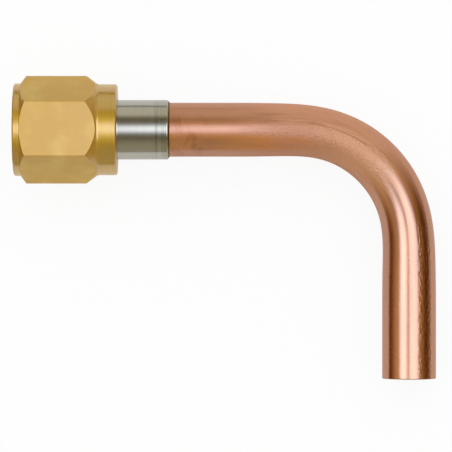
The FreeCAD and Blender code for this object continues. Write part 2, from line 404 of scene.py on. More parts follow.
# Fine-turned steel with a thin passivated coat: cool grey with a faint olive cast, and a greener band near
# its end. Its lines are drawn coarser too.
TURNED_STEEL = Finish(
    name="steel_fine_turned", colour="#B0ADA0", roughness=0.19, stretch=0.4, film=0.25,
    mark_scale=(2.2, 0.03, 0.03), mark_depth=0.003, mark_shade=0.3,
    cloud_scale=0.3, cloud_shade=0.06,
    marks=(
        Marks(
            Zone((32.5, 34.0), (37.0, 38.0)), Zone((-9.0, -8.5), (8.5, 9.0)),
            scale=(2.4, 0.05, 0.05), cut=(0.4, 0.65), colour="#58684E", cover=0.35,
        ),
    ),
)

# Copper tube drawn through a die: bright pink-brown with fine lines along it. Bending has left the skin
# dull, pale and grained where it was stretched, and the heat of brazing has dulled the straight run too.
DRAWN_COPPER = Finish(
    name="copper_tube_drawn", colour="#B06828", roughness=0.27, film=0.84, edge="#E8AE84",
    mark_scale=(0.05, 1.1, 1.1), mark_depth=0.006, mark_shade=0.35,
    ripple_scale=0.35, ripple_depth=0.02,
    cloud_scale=0.15, cloud_shade=0.10, cloud_gloss=0.05,
    dulling=Dulling(
        along=Zone(fade_in=(48.0, 66.0), fade_out=(82.0, 107.0), least=0.42),
        colour="#C88F6E", rougher=0.35, scatter=0.55, film_lost=0.7, peel_scale=2.2, peel_depth=0.17,
    ),
    marks=(
        # Scuffs on the leg, along the side that rubbed on the bending die: the dents are real, and their
        # golden tone is painted highlight, standing in for the glints they catch in the dark band.
        Marks(
            Zone((98.0, 108.0), (150.0, 160.0)), Zone((1.6, 2.6), (4.6, 5.6)),
            scale=(0.75, 1.9, 1.9), cut=(0.35, 0.65), depth=0.022, colour="#C88838", cover=0.5,
        ),
        # Painted light on the lower half of the straight run, the side towards the leg: a lighter, more
        # golden tone that stands in for light falling on that side.
        Marks(
            Zone((36.0, 37.0), (56.0, 80.0)), Zone((-5.3, -4.5), (-2.2, -0.8)),
            scale=(0.12, 0.4, 0.4), cut=(0.1, 0.6), colour="#D28A4C", cover=1.0,
        ),
        # Brown stains next to the socket, where it was hottest.
        Marks(
            Zone((36.0, 37.5), (43.0, 47.0)), Zone((-7.0, -6.5), (2.0, 5.0)),
            scale=(0.5, 0.3, 0.3), cut=(0.42, 0.72), colour="#9C5420", cover=0.5,
        ),
        # Small pale flecks beside them.
        Marks(
            Zone((36.8, 37.2), (44.0, 56.0)), Zone((-7.0, -6.5), (-3.0, 4.0)),
            scale=(1.9, 0.9, 0.9), cut=(0.68, 0.76), colour="#D8A878", cover=0.6,
        ),
        # Painted highlight: a paler, more golden tone over the bend, which stands in for the brighter light
        # that it reflects.
        Marks(
            Zone((64.0, 84.0), (94.0, 106.0)), Zone((-7.0, -4.5), (1.0, 5.5)),
            scale=(0.05, 0.25, 0.25), cut=(0.1, 0.5), colour="#F0B886", cover=0.3,
        ),
        # Dark streaks that the drawing die left, stretched open as the bend starts; partly painted
        # reflection, as they carry the dark band above the highlight on into the bend.
        Marks(
            Zone((50.0, 60.0), (86.0, 94.0)), Zone((0.6, 1.8), (3.2, 4.4)),
            scale=(0.11, 1.5, 1.5), cut=(0.4, 0.7), colour="#8A5430", cover=0.5,
        ),
        # Browner streaks from the bend into the leg, with painted shade: the darker tone dims the reflected
        # highlight where the bend runs into the leg.
        Marks(
            Zone((86.0, 98.0), (108.0, 150.0)), Zone((-4.5, -3.5), (4.0, 5.0)),
            scale=(0.06, 0.9, 0.9), cut=(0.25, 0.7), colour="#84481C", cover=0.7,
        ),
        # Small brown specks near the leg's end.
        Marks(
            Zone((118.0, 136.0), (150.0, 160.0)), Zone((-5.5, -3.5), (4.0, 5.0)),
            scale=(0.9, 1.7, 1.7), cut=(0.66, 0.74), colour="#8A4C1C", cover=0.7,
        ),
    ),
)

# Soft copper sheet pressed in a die: matt pink.
PRESSED_COPPER = Finish(
    name="copper_sheet_pressed", colour="#B98C70", roughness=0.38,
    mark_scale=(2.0, 2.0, 2.0), mark_depth=0.002, mark_shade=0.06,
    cloud_scale=0.4, cloud_shade=0.08,
)

# Brazing alloy left as it flowed: dull olive gold, slightly uneven.
FLOWED_BRAZE = Finish(
    name="braze_alloy_flowed", colour="#75663A", roughness=0.46,
    mark_scale=(1.5, 1.5, 1.5), mark_depth=0.01, mark_shade=0.2,
    cloud_scale=0.8, cloud_shade=0.15,
)


@dataclass(frozen=True)
class Corner:
    """A corner of a turned section: place along the axis, radius, and how far its edge is rounded."""

    along: float
    radius: float
    rounding: float = 0.0


def rounded_section(corners: list[Corner], closed: bool = True, steps: int = 4) -> np.ndarray:
    """Rounds the corners of a section and adds the points that keep its straight sides flat in the light.

    Args:
        corners: The section's corners in order.
        closed: Whether the last corner joins the first one.
        steps: Pieces in each rounded edge.

    Returns:
        Places along the axis and radii, one row for each point, the same number for the same corners.
    """
    points = np.array([(corner.along, corner.radius) for corner in corners])
    section: list[np.ndarray] = []
    count = len(corners)
    for place, corner in enumerate(corners):
        here = points[place]
        if corner.rounding == 0.0 or (not closed and place in (0, count - 1)):
            section.append(here)
            continue
        back = points[(place - 1) % count] - here
        on = points[(place + 1) % count] - here
        back_length, on_length = np.linalg.norm(back), np.linalg.norm(on)
        back, on = back / back_length, on / on_length
        half = math.acos(float(np.clip(back @ on, -1.0, 1.0))) / 2
        reach = min(corner.rounding / math.tan(half), MOST_OF_SIDE * min(back_length, on_length))
        beyond = min(reach * BEYOND_SHARE, reach + BEYOND_LENGTH)
        section.append(here + back * beyond)
        for share in np.linspace(0.0, 1.0, steps + 1):
            start, end = here + back * reach, here + on * reach
            section.append((1 - share) ** 2 * start + 2 * share * (1 - share) * here + share ** 2 * end)
        section.append(here + on * beyond)
    return np.array(section)


def swept_mesh(name: str, sections: np.ndarray, angles: np.ndarray, closed: bool = True) -> Mesh:
    """Joins sections that stand round the axis into one surface.

    Args:
        name: Name of the mesh.
        sections: Section points for each angle, as places along the axis and radii.
        angles: Angle of each section round the axis, from Y towards Z.
        closed: Whether each section's last point joins its first one.

    Returns:
        The mesh, in millimetres of the fitting's own frame.
    """
    columns, rows = sections.shape[:2]
    along, radius = sections[..., 0], sections[..., 1]
    turn = angles[:, None]
    points = np.stack([along, radius * np.cos(turn), radius * np.sin(turn)], axis=-1).reshape(-1, 3)
    column = np.arange(columns)[:, None]
    row = np.arange(rows if closed else rows - 1)[None, :]
    next_column, next_row = (column + 1) % columns, (row + 1) % rows
    here, beside = column * rows, next_column * rows
    corners = [here + row, here + next_row, beside + next_row, beside + row]
    faces = np.stack(corners, axis=-1).reshape(-1, 4)
    mesh = bpy.data.meshes.new(name)
    mesh.from_pydata(points.tolist(), [], faces.tolist())
    return mesh


def turned_mesh(name: str, corners: list[Corner], segments: int = CIRCLE_PIECES) -> Mesh:
    """Turns one closed section round the axis.

    Args:
        name: Name of the mesh.
        corners: The section's corners.
        segments: Pieces in the circle.

    Returns:
        The mesh, in millimetres of the fitting's own frame.
    """
    section = rounded_section(corners)
    angles = np.arange(segments) * 2 * math.pi / segments
    return swept_mesh(name, np.repeat(section[None], segments, axis=0), angles)


def note_own_place(mesh: Mesh) -> None:
    """Stores where each point of a mesh is in the fitting's own frame, for the patterns of its finish.

    Args:
        mesh: A mesh in millimetres of that frame.
    """
    places = np.zeros(len(mesh.vertices) * 3, dtype=np.float32)
    mesh.vertices.foreach_get("co", places)
    mesh.attributes.new(OWN_PLACE, "FLOAT_VECTOR", "POINT").data.foreach_set("vector", places)


def finished_piece(mesh: Mesh, name: str, body: Body, slot: Slot, *nodes: str) -> Object:
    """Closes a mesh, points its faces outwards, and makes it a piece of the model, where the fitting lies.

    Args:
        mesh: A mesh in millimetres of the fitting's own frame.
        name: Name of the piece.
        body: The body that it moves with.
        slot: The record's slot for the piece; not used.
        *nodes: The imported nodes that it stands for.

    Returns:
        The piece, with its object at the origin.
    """
    if OWN_PLACE not in mesh.attributes:
        note_own_place(mesh)
    shell = bmesh.new()
    shell.from_mesh(mesh)
    bmesh.ops.remove_doubles(shell, verts=shell.verts, dist=WELD)
    bmesh.ops.dissolve_degenerate(shell, edges=shell.edges, dist=SLIVER)
    bmesh.ops.recalc_face_normals(shell, faces=shell.faces)
    if shell.calc_volume(signed=True) < 0:
        bmesh.ops.reverse_faces(shell, faces=shell.faces)
    open_edges = sum(1 for edge in shell.edges if not edge.is_manifold)
    shell.to_mesh(mesh)
    volume = shell.calc_volume()
    shell.free()
    mesh.transform(OWN_TO_ROW)
    mesh.shade_smooth()
    mesh.name = name
    piece = bpy.data.objects.new(name, mesh)
    bpy.context.scene.collection.objects.link(piece)
    LOG.info("%s: %d faces, %.0f mm3, %d open edges", name, len(mesh.polygons), volume, open_edges)
    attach(piece, body.value)
    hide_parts(*nodes)
    return piece


def grown(start: Mesh, tree: NodeTree, inputs: dict[str, object]) -> Mesh:
    """Runs a geometry tree on a mesh and returns the plain result.

    Args:
        start: The mesh that goes into the tree.
        tree: The tree.
        inputs: A value for each named input of the tree.

    Returns:
        The plain mesh that comes out of the tree.
    """
    carrier = bpy.data.objects.new("carrier", start)
    bpy.context.scene.collection.objects.link(carrier)
    modifier = carrier.modifiers.new("shape", "NODES")
    modifier.node_group = tree
    for name, value in inputs.items():
        modifier[tree.interface.items_tree[name].identifier] = value
    bpy.context.view_layer.update()
    evaluated = carrier.evaluated_get(bpy.context.evaluated_depsgraph_get())
    result = bpy.data.meshes.new_from_object(evaluated)
    carrier.modifiers.remove(modifier)
    bpy.data.objects.remove(carrier)
    return result


def new_geometry_tree(name: str, inputs: dict[str, object]) -> NodeTree:
    """Starts a geometry tree with a geometry, its named inputs and one geometry output.

    Args:
        name: Name of the tree.
        inputs: A value for each named input, which gives its type of socket.

    Returns:
        The tree.
    """
    tree = bpy.data.node_groups.new(name, "GeometryNodeTree")
    tree.interface.new_socket("Geometry", in_out="INPUT", socket_type="NodeSocketGeometry")
    for socket, value in inputs.items():
        kind = next(kind for base, kind in SOCKETS.items() if isinstance(value, base))
        tree.interface.new_socket(socket, in_out="INPUT", socket_type=kind)
    tree.interface.new_socket("Geometry", in_out="OUTPUT", socket_type="NodeSocketGeometry")
    return tree


@dataclass
class UnionNut:
    """The captive nut: hexagon bar turned to a collar and a cone at each end, threaded from the front."""

    face_at: float = 0.2
    length: float = 24.5
    flat_radius: float = 11.0
    corner_rounding: float = 0.2
    front_radius: float = 10.9
    front_collar: float = 1.8
    front_cone: float = 54.0
    rear_radius: float = 10.7
    rear_collar: float = 4.55
    rear_cone: float = 36.0
    rear_root: float = 1.4
    edge_break: float = 0.3
    dull_share: float = 0.9
    mouth_radius: float = 9.8
    major_radius: float = 9.525
    minor_radius: float = 8.75
    pitch: float = 1.5875
    flank_angle: float = 30.0
    relief_radius: float = 9.7
    relief_at: float = 13.4
    shoulder_at: float = 19.0
    rear_bore: float = 7.1
    columns: int = 288
    bunching: float = 0.88

    def hexagon(self, angle: float) -> float:
        """Finds how far the rounded hexagon reaches at an angle.

        Args:
            angle: Angle round the axis, in radians, with a corner at zero.

        Returns:
            The radius in millimetres.
        """
        side = 2 * math.pi / FLATS
        from_corner = abs((angle + side / 2) % side - side / 2)
        corner_centre = (self.flat_radius - self.corner_rounding) / math.cos(side / 2)
        tangent = math.atan2(
            self.corner_rounding * math.sin(side / 2),
            corner_centre + self.corner_rounding * math.cos(side / 2),
        )
        if from_corner > tangent:
            return self.flat_radius / math.cos(side / 2 - from_corner)
        across = corner_centre * math.sin(from_corner)
        return corner_centre * math.cos(from_corner) + math.sqrt(self.corner_rounding ** 2 - across ** 2)

    def section(self, angle: float) -> np.ndarray:
        """Follows the nut's section at one angle, from the thread's start round the outside to the relief.

        Args:
            angle: Angle round the axis, in radians.

        Returns:
            The rounded section.
        """
        outer = self.hexagon(angle)
        rear_at = self.length - self.rear_collar
        front_slope = math.tan(math.radians(self.front_cone))
        rear_slope = math.tan(math.radians(self.rear_cone))
        flat_start = self.front_collar + (outer - self.front_radius) / front_slope
        flat_end = rear_at - (outer - self.rear_radius) / rear_slope
        return rounded_section([
            Corner(self.face_at + self.mouth_radius - self.major_radius, self.major_radius),
            Corner(self.face_at, self.mouth_radius, 0.06),
            Corner(self.face_at, self.front_radius - self.edge_break, 0.08),
            Corner(self.face_at + self.edge_break, self.front_radius, 0.12),
            Corner(self.front_collar, self.front_radius, 0.15),
            Corner(flat_start, outer, 0.12),
            Corner(flat_end, outer, 0.12),
            Corner(rear_at, self.rear_radius, self.rear_root),
            Corner(self.length - self.edge_break, self.rear_radius, 0.1),
            Corner(self.length, self.rear_radius - self.edge_break, 0.08),
            Corner(self.length, self.rear_bore + self.edge_break, 0.06),
            Corner(self.length - self.edge_break, self.rear_bore, 0.06),
            Corner(self.shoulder_at, self.rear_bore, 0.08),
            Corner(self.shoulder_at, self.relief_radius, 0.15),
            Corner(self.relief_at, self.relief_radius),
        ], closed=False)

    def thread_tree(self, inputs: dict[str, object]) -> NodeTree:
        """Builds the tree that closes the nut's bore with its helical thread.

        Args:
            inputs: The thread's sizes and the nut's finishes, which are the tree's named inputs.

        Returns:
            The tree.
        """
        tree = new_geometry_tree("internal_thread", inputs)
        given = add(tree, "NodeGroupInput").outputs
        rows = add(tree, Maths.MULTIPLY, [given["Turns"], THREAD_LINES])
        grid = add(tree, "GeometryNodeMeshGrid", {
            "Size X": rows,
            "Size Y": given["Columns"],
            "Vertices X": add(tree, Maths.ADD, [rows, 1]),
            "Vertices Y": add(tree, Maths.ADD, [given["Columns"], 1]),
        })
        flat = add(tree, "ShaderNodeSeparateXYZ", [add(tree, "GeometryNodeInputPosition")]).outputs
        row, column = (
            add(tree, Maths.ROUND, [add(tree, Maths.MULTIPLY_ADD, [count, 0.5, flat[axis]])])
            for count, axis in ((rows, "X"), (given["Columns"], "Y"))
        )

        # Angle of each column: the same rule as the outside, with more columns near the hexagon's corners.
        share = add(tree, Maths.DIVIDE, [column, given["Columns"]])
        even = add(tree, Maths.MULTIPLY, [share, 2 * math.pi])
        wave = add(tree, Maths.SINE, [add(tree, Maths.MULTIPLY, [even, FLATS])])
        most = add(tree, Maths.MULTIPLY, [given["Bunching"], -1 / FLATS])
        angle = add(tree, Maths.MULTIPLY_ADD, [wave, most, even])
        turned = add(tree, Maths.DIVIDE, [angle, 2 * math.pi])
        climb = add(tree, Maths.MULTIPLY, [turned, given["Pitch"]])

        # Eight lines follow each turn of the thread, two beside each of its four edges.
        crest = add(tree, Maths.MULTIPLY, [given["Crest width"], 0.5])
        root = add(tree, Maths.ADD, [crest, given["Flank width"]])
        in_turn = add(tree, Maths.FLOORED_MODULO, [row, THREAD_LINES])
        line = add(tree, "GeometryNodeIndexSwitch", {"Index": in_turn}, data_type="FLOAT")
        for _ in range(THREAD_LINES - 2):
            line.index_switch_items.new()
        offsets = [
            add(tree, Maths.MULTIPLY_ADD, [edge, side, step]).outputs[0]
            for side, edges in ((-1, (root, crest)), (1, (crest, root)))
            for edge in edges
            for step in (-THREAD_EDGE, THREAD_EDGE)
        ]
        for place, offset in enumerate(offsets, start=1):
            tree.links.new(offset, line.inputs[place])
        turns_before = add(tree, Maths.FLOOR, [add(tree, Maths.DIVIDE, [row, THREAD_LINES])])
        turn = add(tree, Maths.SUBTRACT, [turns_before, 1])
        in_line = add(tree, Maths.MULTIPLY_ADD, [turn, given["Pitch"], line])
        from_start = add(tree, Maths.ADD, [in_line, climb])
        helix = add(tree, Maths.ADD, [from_start, given["Start"]])
        along = add(tree, "ShaderNodeClamp", [helix, given["Start"], given["End"]])

        # Radius on the thread's form, opened to the lead at the mouth and to the relief at the last line.
        unwound = add(tree, Maths.SUBTRACT, [along, climb])
        phase = add(tree, Maths.SUBTRACT, [unwound, given["Start"]])
        ends = [add(tree, Maths.MULTIPLY, [given["Pitch"], half]) for half in (0.5, -0.5)]
        wrapped = add(tree, Maths.WRAP, [phase, *ends])
        from_crest = add(tree, Maths.ABSOLUTE, [wrapped])
        form = add(tree, MAP_RANGE, [from_crest, crest, root, given["Major radius"], given["Minor radius"]])
        lead = add(tree, Maths.SUBTRACT, [given["Mouth radius"], along])
        cut = add(tree, Maths.MAXIMUM, [form, lead])
        is_last = add(tree, Maths.COMPARE, [row, rows, 0.5])
        last_step = add(tree, Maths.SUBTRACT, [given["Relief radius"], cut])
        radius = add(tree, Maths.MULTIPLY_ADD, [is_last, last_step, cut])
        up = add(tree, Maths.MULTIPLY, [radius, add(tree, Maths.COSINE, [angle])])
        out = add(tree, Maths.MULTIPLY, [radius, add(tree, Maths.SINE, [angle])])
        place = add(tree, "ShaderNodeCombineXYZ", [along, up, out])
        bore = add(tree, "GeometryNodeSetPosition", {"Geometry": grid, "Position": place})

        both = add(tree, "GeometryNodeJoinGeometry", [bore])
        tree.links.new(given["Geometry"], both.inputs[0])
        merged = add(tree, "GeometryNodeMergeByDistance", {"Geometry": both, "Distance": SEAM})
        plain = add(tree, "GeometryNodeRealizeInstances", [merged])
        finished = add(tree, "GeometryNodeSetMaterial", {
            "Geometry": plain, "Material": given["Turned finish"],
        })
        for name, finish in ((BAR_FACE, "Bar finish"), (CONE_FACE, "Cone finish")):
            chosen = add(tree, "GeometryNodeInputNamedAttribute", {"Name": name}, data_type="BOOLEAN")
            finished = add(tree, "GeometryNodeSetMaterial", {
                "Geometry": finished, "Selection": chosen, "Material": given[finish],
            })
        add(tree, "NodeGroupOutput", [finished])
        return tree

    def build(self) -> Object:
        """Makes the nut with its outside, bores and thread.

        Returns:
            The finished piece.
        """
        share = np.arange(self.columns) * 2 * math.pi / self.columns
        angles = share - self.bunching / FLATS * np.sin(FLATS * share)
        sections = np.array([self.section(angle) for angle in angles])
        shell = swept_mesh("nut_shell", sections, angles, closed=False)

        # The faces between the two cones are still the bar's own: the ones at the hexagon's radius.
        reach = np.array([self.hexagon(angle) for angle in angles])
        outer_row = np.isclose(sections[..., 1], reach[:, None], atol=HAIR)
        on_bar = outer_row & np.roll(outer_row, -1, axis=1)
        bar_faces = (on_bar & np.roll(on_bar, -1, axis=0))[:, :-1]

        # The form tool cut the rest of the outside between the two collars, and broke the front edge.
        along, radius = sections[..., 0], sections[..., 1]
        raised = (along > self.front_collar) & (along < self.length - self.rear_collar)
        raised |= along < self.face_at + self.dull_share * self.edge_break
        raised &= radius > self.mouth_radius
        on_cone = raised | np.roll(raised, -1, axis=1)
        cone_faces = (on_cone | np.roll(on_cone, -1, axis=0))[:, :-1] & ~bar_faces
        for name, faces in ((BAR_FACE, bar_faces), (CONE_FACE, cone_faces)):
            flags = shell.attributes.new(name, "BOOLEAN", "FACE")
            flags.data.foreach_set("value", faces.reshape(-1))

        # A crest is an eighth of the pitch wide, and two more turns than the bore holds reach past its ends.
        depth = self.major_radius - self.minor_radius
        start = self.face_at + self.mouth_radius - self.major_radius
        inputs = {
            "Pitch": self.pitch,
            "Major radius": self.major_radius,
            "Minor radius": self.minor_radius,
            "Crest width": self.pitch / 8,
            "Flank width": depth * math.tan(math.radians(self.flank_angle)),
            "Start": start,
            "End": self.relief_at,
            "Mouth radius": self.face_at + self.mouth_radius,
            "Relief radius": self.relief_radius,
            "Columns": self.columns,
            "Turns": math.ceil((self.relief_at - start) / self.pitch) + 2,
            "Bunching": self.bunching,
            "Turned finish": TURNED_BRASS.build(),
            "Bar finish": DRAWN_BRASS_BAR.build(),
            "Cone finish": FORMED_BRASS.build(),
        }
        whole = grown(shell, self.thread_tree(inputs), inputs)
        return finished_piece(whole, "nut_turned_and_threaded", Body.NUT, Slot.NUT_BRASS, "union_nut")


@dataclass
class Nipple:
    """The turned nipple, the cone gasket in its seat, and the braze metal in its socket."""

    bore_radius: float = 5.35
    tube_radius: float = 6.35
    socket_radius: float = 6.43
    stem_radius: float = 7.0
    head_radius: float = 8.55
    seat_radius: float = 7.9
    head_front: float = 13.7
    head_back: float = 18.7
    stem_end: float = 36.5
    tube_start: float = 27.5
    head_break: float = 0.3
    stem_rounding: float = 0.55
    cone_sheet: float = 0.8
    cone_clearance: float = 0.05
    fillet: float = 0.36
    fillet_hollow: float = 1.6
    fillet_points: int = 6
    fillet_sway: float = 0.05
    fillet_waves: tuple[tuple[int, float, float], ...] = ((2, 0.7, 1.0), (5, 2.1, 0.6), (9, 0.0, 0.4))

    def build_nipple(self) -> Object:
        """Makes the nipple.

        Returns:
            The finished piece.
        """
        seat_end = self.head_front + self.seat_radius - self.bore_radius
        mesh = turned_mesh("nipple", [
            Corner(seat_end, self.bore_radius, 0.08),
            Corner(self.head_front, self.seat_radius, 0.05),
            Corner(self.head_front, self.head_radius - self.head_break, 0.06),
            Corner(self.head_front + self.head_break, self.head_radius, 0.08),
            Corner(self.head_back, self.head_radius, 0.05),
            Corner(self.head_back, self.stem_radius, 0.1),
            Corner(self.stem_end, self.stem_radius, self.stem_rounding),
            Corner(self.stem_end, self.socket_radius, 0.02),
            Corner(self.tube_start, self.socket_radius, 0.02),
            Corner(self.tube_start, self.bore_radius, 0.02),
        ])
        mesh.materials.append(TURNED_STEEL.build())
        return finished_piece(mesh, "nipple_turned", Body.ELBOW, Slot.NIPPLE_STEEL, "flare_nipple")

    def build_cone(self) -> Object:
        """Makes the cone gasket that lies in the seat.

        Returns:
            The finished piece.
        """
        front_at = self.head_front + self.cone_clearance
        across = self.cone_sheet * math.sqrt(2)
        front_radius = self.seat_radius - self.cone_clearance * math.sqrt(2) - self.cone_clearance
        hole_at = front_at + front_radius - self.bore_radius
        mesh = turned_mesh("cone", [
            Corner(front_at, front_radius, 0.05),
            Corner(hole_at, self.bore_radius, 0.06),
            Corner(hole_at - across, self.bore_radius, 0.1),
            Corner(front_at, front_radius - across, 0.1),
        ])
        mesh.materials.append(PRESSED_COPPER.build())
        return finished_piece(mesh, "cone_gasket_pressed", Body.ELBOW, Slot.CONE_COPPER, "sealing_cone")

    def build_braze(self) -> Object:
        """Makes the film of braze metal with its hollow, slightly uneven fillet.

        Returns:
            The finished piece.
        """
        angles = np.arange(CIRCLE_PIECES) * 2 * math.pi / CIRCLE_PIECES
        sections = []
        for angle in angles:
            sway = sum(height * math.sin(count * angle + at) for count, at, height in self.fillet_waves)
            reach = self.fillet + self.fillet_sway * sway / 2
            curve = []
            for turn in np.linspace(0.0, math.pi / 2, self.fillet_points):
                along = reach * math.sin(turn) ** self.fillet_hollow
                out = reach * math.cos(turn) ** self.fillet_hollow
                curve.append((self.stem_end + along, self.tube_radius + out))
            sections.append([
                (self.tube_start, self.tube_radius), *reversed(curve),
                (self.stem_end, self.socket_radius), (self.tube_start, self.socket_radius),
            ])
        mesh = swept_mesh("braze", np.array(sections), angles)
        mesh.materials.append(FLOWED_BRAZE.build())
        return finished_piece(mesh, "braze_film_and_fillet", Body.ELBOW, Slot.BRAZE_METAL, "braze_ring")


@dataclass
class CopperTube:
    """The bent tube: a straight tube laid along its bent line, flattened a little where it bends."""

    radius: float = 6.35
    wall: float = 1.0
    start: float = 27.5
    leg_at: float = 93.2
    end_at: float = 58.6
    bend_radius: float = 25.72
    easing: float = 13.0
    flattening: float = 0.32
    flattening_run: float = 8.0
    end_rounding: float = 0.25
    row_length: float = 0.8
    first_row: float = 0.3
    last_row: float = 0.5
    segments: int = 112
    line_step: float = 0.02
    steps_to_point: int = 5

    def bend_line(self) -> tuple[np.ndarray, float, float]:
        """Works out the tube's middle line, whose bend eases in and out as a bending die leaves it.

        Returns:
            Points in millimetres from the tube's start to its end, and the lengths along it at which the
            bend starts and ends.
        """
        turn = math.pi / 2
        arc = turn * self.bend_radius - self.easing
        length = np.arange(0.0, arc + 2 * self.easing + self.line_step / 2, self.line_step)
        rising = np.clip(length / self.easing, 0.0, 1.0)
        falling = np.clip((arc + 2 * self.easing - length) / self.easing, 0.0, 1.0)
        curvature = np.minimum(rising, falling) / self.bend_radius
        heading = np.concatenate([[0.0], np.cumsum((curvature[1:] + curvature[:-1]) / 2 * np.diff(length))])
        heading *= turn / heading[-1]
        middle = (heading[1:] + heading[:-1]) / 2
        x = np.concatenate([[0.0], np.cumsum(np.cos(middle) * np.diff(length))])
        y = np.concatenate([[0.0], np.cumsum(-np.sin(middle) * np.diff(length))])
        bend_start = self.leg_at - x[-1] - self.start
        bend = np.stack([x + self.start + bend_start, y, np.zeros_like(x)], axis=-1)
        points = np.concatenate([
            [(self.start, 0.0, 0.0)],
            bend[::self.steps_to_point],
            bend[-1:],
            [(self.leg_at, -self.end_at, 0.0)],
        ])
        return points, bend_start, bend_start + length[-1]

    def bend_tree(self, inputs: dict[str, object]) -> NodeTree:
        """Builds the tree that lays a straight tube along a line and flattens it in the bend.

        Args:
            inputs: The line, the flattening and the finish, which are the tree's named inputs.

        Returns:
            The tree.
        """
        tree = new_geometry_tree("bend_along_line", inputs)
        given = add(tree, "NodeGroupInput").outputs
        line = add(tree, "GeometryNodeObjectInfo", {"Object": given["Line"]}, transform_space="RELATIVE")
        straight = add(tree, "ShaderNodeSeparateXYZ", [add(tree, "GeometryNodeInputPosition")]).outputs
        length = add(tree, Maths.SUBTRACT, [straight["X"], given["Start"]])
        where = {"Curves": line.outputs["Geometry"], "Length": length}
        sample = add(tree, "GeometryNodeSampleCurve", where, mode="LENGTH").outputs

        # How much the tube is flattened here: it grows before the bend starts and fades after it ends.
        before = add(tree, Maths.SUBTRACT, [given["Bend start"], given["Run"]])
        within = add(tree, Maths.MULTIPLY_ADD, [given["Run"], 2, given["Bend start"]])
        rise = add(tree, MAP_RANGE, [length, before, within, 0.0, 1.0], **SMOOTH)
        near_end = add(tree, Maths.MULTIPLY_ADD, [given["Run"], -2, given["Bend end"]])
        after = add(tree, Maths.ADD, [given["Bend end"], given["Run"]])
        fall = add(tree, MAP_RANGE, [length, near_end, after, 1.0, 0.0], **SMOOTH)
        both = add(tree, Maths.MULTIPLY, [rise, fall])
        amount = add(tree, Maths.MULTIPLY, [both, given["Flattening"]])
        square_sum = add(tree, Maths.MULTIPLY_ADD, [
            straight["Y"], straight["Y"], add(tree, Maths.POWER, [straight["Z"], 2.0]),
        ])
        radius = add(tree, Maths.SQRT, [square_sum])
        lost = add(tree, Maths.DIVIDE, [amount, radius])
        kept = add(tree, Maths.SUBTRACT, [1.0, lost])
        across = add(tree, Maths.MULTIPLY, [straight["Y"], kept])

        square = (0.0, 0.0, 1.0)
        side = add(tree, Vectors.CROSS_PRODUCT, [square, sample["Tangent"]])
        off_line = add(tree, Vectors.SCALE, [side, across])
        off_plane = add(tree, Vectors.SCALE, [square, straight["Z"]])
        off = add(tree, Vectors.ADD, [off_line, off_plane])
        place = add(tree, Vectors.ADD, [sample["Position"], off])
        bent = add(tree, "GeometryNodeSetPosition", {"Geometry": given["Geometry"], "Position": place})
        plain = add(tree, "GeometryNodeRealizeInstances", [bent])
        finished = add(tree, "GeometryNodeSetMaterial", {"Geometry": plain, "Material": given["Finish"]})
        add(tree, "NodeGroupOutput", [finished])
        return tree

    def straight_tube(self, length: float) -> Mesh:
        """Makes the tube before it is bent, with its cut end slightly rounded.

        Args:
            length: Length of the tube along its middle line.

        Returns:
            The mesh, in millimetres, with each point's place before the bend stored on it.
        """
        inner = self.radius - self.wall
        end = self.start + length
        rows = math.ceil(length / self.row_length)
        skin = np.linspace(self.start + self.first_row, end - self.last_row, rows)
        corners = [Corner(place, self.radius) for place in skin]
        corners += [Corner(end, self.radius, self.end_rounding), Corner(end, inner, 0.08)]
        corners += [Corner(place, inner) for place in skin[::-1]]
        corners += [Corner(self.start, inner, 0.05), Corner(self.start, self.radius, 0.05)]
        mesh = turned_mesh("tube", corners, self.segments)
        note_own_place(mesh)
        return mesh

    def build(self) -> Object:
        """Makes the bent tube.

        Returns:
            The finished piece.
        """
        points, bend_start, bend_end = self.bend_line()
        length = float(np.linalg.norm(np.diff(points, axis=0), axis=1).sum())
        curve = bpy.data.curves.new("tube_line", "CURVE")
        curve.dimensions = "3D"
        spline = curve.splines.new("POLY")
        spline.points.add(len(points) - 1)
        spline.points.foreach_set("co", np.hstack([points, np.ones((len(points), 1))]).reshape(-1))
        line = bpy.data.objects.new("tube_line", curve)
        bpy.context.scene.collection.objects.link(line)
        inputs = {
            "Line": line,
            "Start": self.start,
            "Bend start": bend_start,
            "Bend end": bend_end,
            "Flattening": self.flattening,
            "Run": self.flattening_run,
            "Finish": DRAWN_COPPER.build(),
        }
        bent = grown(self.straight_tube(length), self.bend_tree(inputs), inputs)
        bpy.data.objects.remove(line)
        return finished_piece(bent, "tube_drawn_and_bent", Body.ELBOW, Slot.TUBE_COPPER, "copper_tube")


@dataclass(frozen=True)
class Lamp:
    """A round softbox: its brightness, and its middle and half size as angles across and up the picture."""

    level: float
    middle: tuple[float, float]
    half_size: tuple[float, float]
    lit_within: float = 0.8
    dark_beyond: float = 1.25


